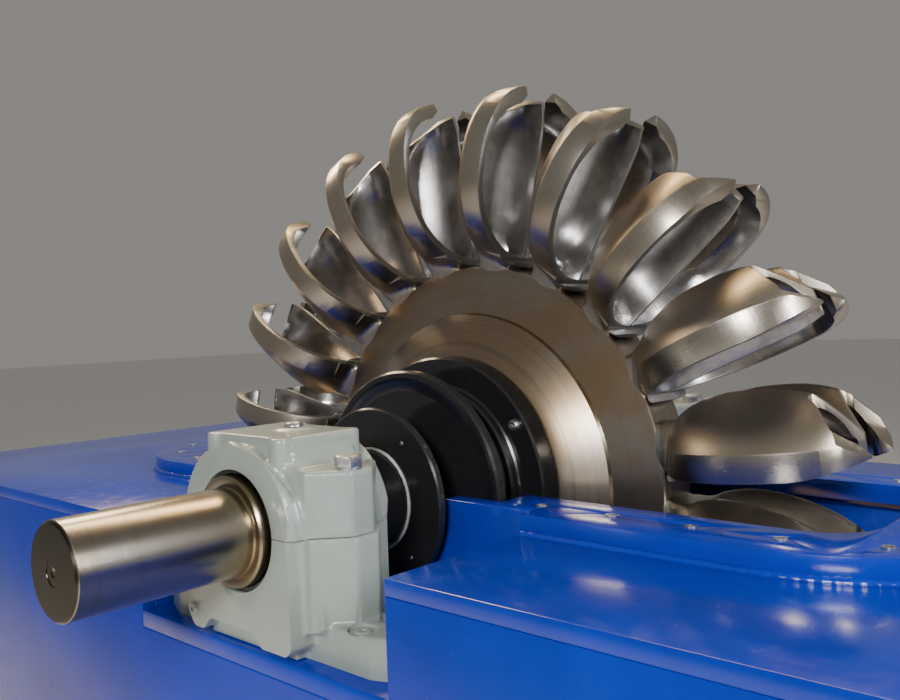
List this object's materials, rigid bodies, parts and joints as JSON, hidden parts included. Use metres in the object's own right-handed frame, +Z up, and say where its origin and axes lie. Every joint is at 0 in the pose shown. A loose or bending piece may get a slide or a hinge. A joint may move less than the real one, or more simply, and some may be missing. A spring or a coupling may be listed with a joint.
{
  "type": "pelton turbine runner in its open lower housing",
  "caption": "Horizontal Pelton runner with double-cup buckets on a steel shaft in split bearing blocks, set in the open lower half of its welded housing.",
  "frame": {"origin": "on the floor under the middle of the wheel", "axes": "+Z up, Y along the shaft, -Y towards the shaft end in the picture, +X to the right along the housing"},
  "size_m": [2.49, 1.474, 1.5121],
  "materials": {
    "ground_steel": "cast stainless steel, ground and polished by hand, with a warm tint and long streaks",
    "polished_steel": "turned steel with fine rings, oiled",
    "blue_paint": "thick blue gloss enamel with slight orange peel",
    "black_paint": "black gloss enamel",
    "grey_green_paint": "pale grey-green gloss enamel on a cast surface"
  },
  "bodies": {
    "housing": {"cover_flange_left": "blue_paint", "cover_flange_right": "blue_paint", "deck_left": "blue_paint", "deck_right": "blue_paint", "bottom_plate": "blue_paint", "end_plate_left": "blue_paint", "end_plate_right": "blue_paint", "pit_end_left": "blue_paint", "pit_end_right": "blue_paint", "side_plate_near": "blue_paint", "side_plate_far": "blue_paint", "pit_wall_near": "blue_paint", "pit_wall_far": "blue_paint", "bearing_shelf_near": "blue_paint", "bearing_shelf_far": "blue_paint", "recess_cheek_near_left": "blue_paint", "recess_cheek_near_right": "blue_paint", "recess_cheek_far_left": "blue_paint", "recess_cheek_far_right": "blue_paint", "bearing_base_near": "grey_green_paint", "bearing_base_far": "grey_green_paint", "bearing_cap_near": "grey_green_paint", "bearing_cap_far": "grey_green_paint", "bearing_ring_near": "polished_steel", "bearing_ring_far": "polished_steel"},
    "runner": {"shaft": "polished_steel", "runner_disc": "ground_steel", "bucket_01": "ground_steel", "bucket_02": "ground_steel", "bucket_03": "ground_steel", "bucket_04": "ground_steel", "bucket_05": "ground_steel", "bucket_06": "ground_steel", "bucket_07": "ground_steel", "bucket_08": "ground_steel", "bucket_09": "ground_steel", "bucket_10": "ground_steel", "bucket_11": "ground_steel", "bucket_12": "ground_steel", "bucket_13": "ground_steel", "bucket_14": "ground_steel", "bucket_15": "ground_steel", "bucket_16": "ground_steel", "bucket_17": "ground_steel", "bucket_18": "ground_steel", "bucket_19": "ground_steel", "bucket_20": "ground_steel", "clamp_flange_near": "black_paint", "clamp_flange_far": "black_paint", "slinger_near": "black_paint", "slinger_far": "black_paint", "seal_disc_near": "black_paint", "seal_disc_far": "black_paint"}
  },
  "joints": [
    {"name": "runner_spin", "type": "hinge", "parent": "housing", "child": "runner", "pos_m": [0, 0, 0.9], "axis": [0, 1, 0], "continuous": true}
  ]
}
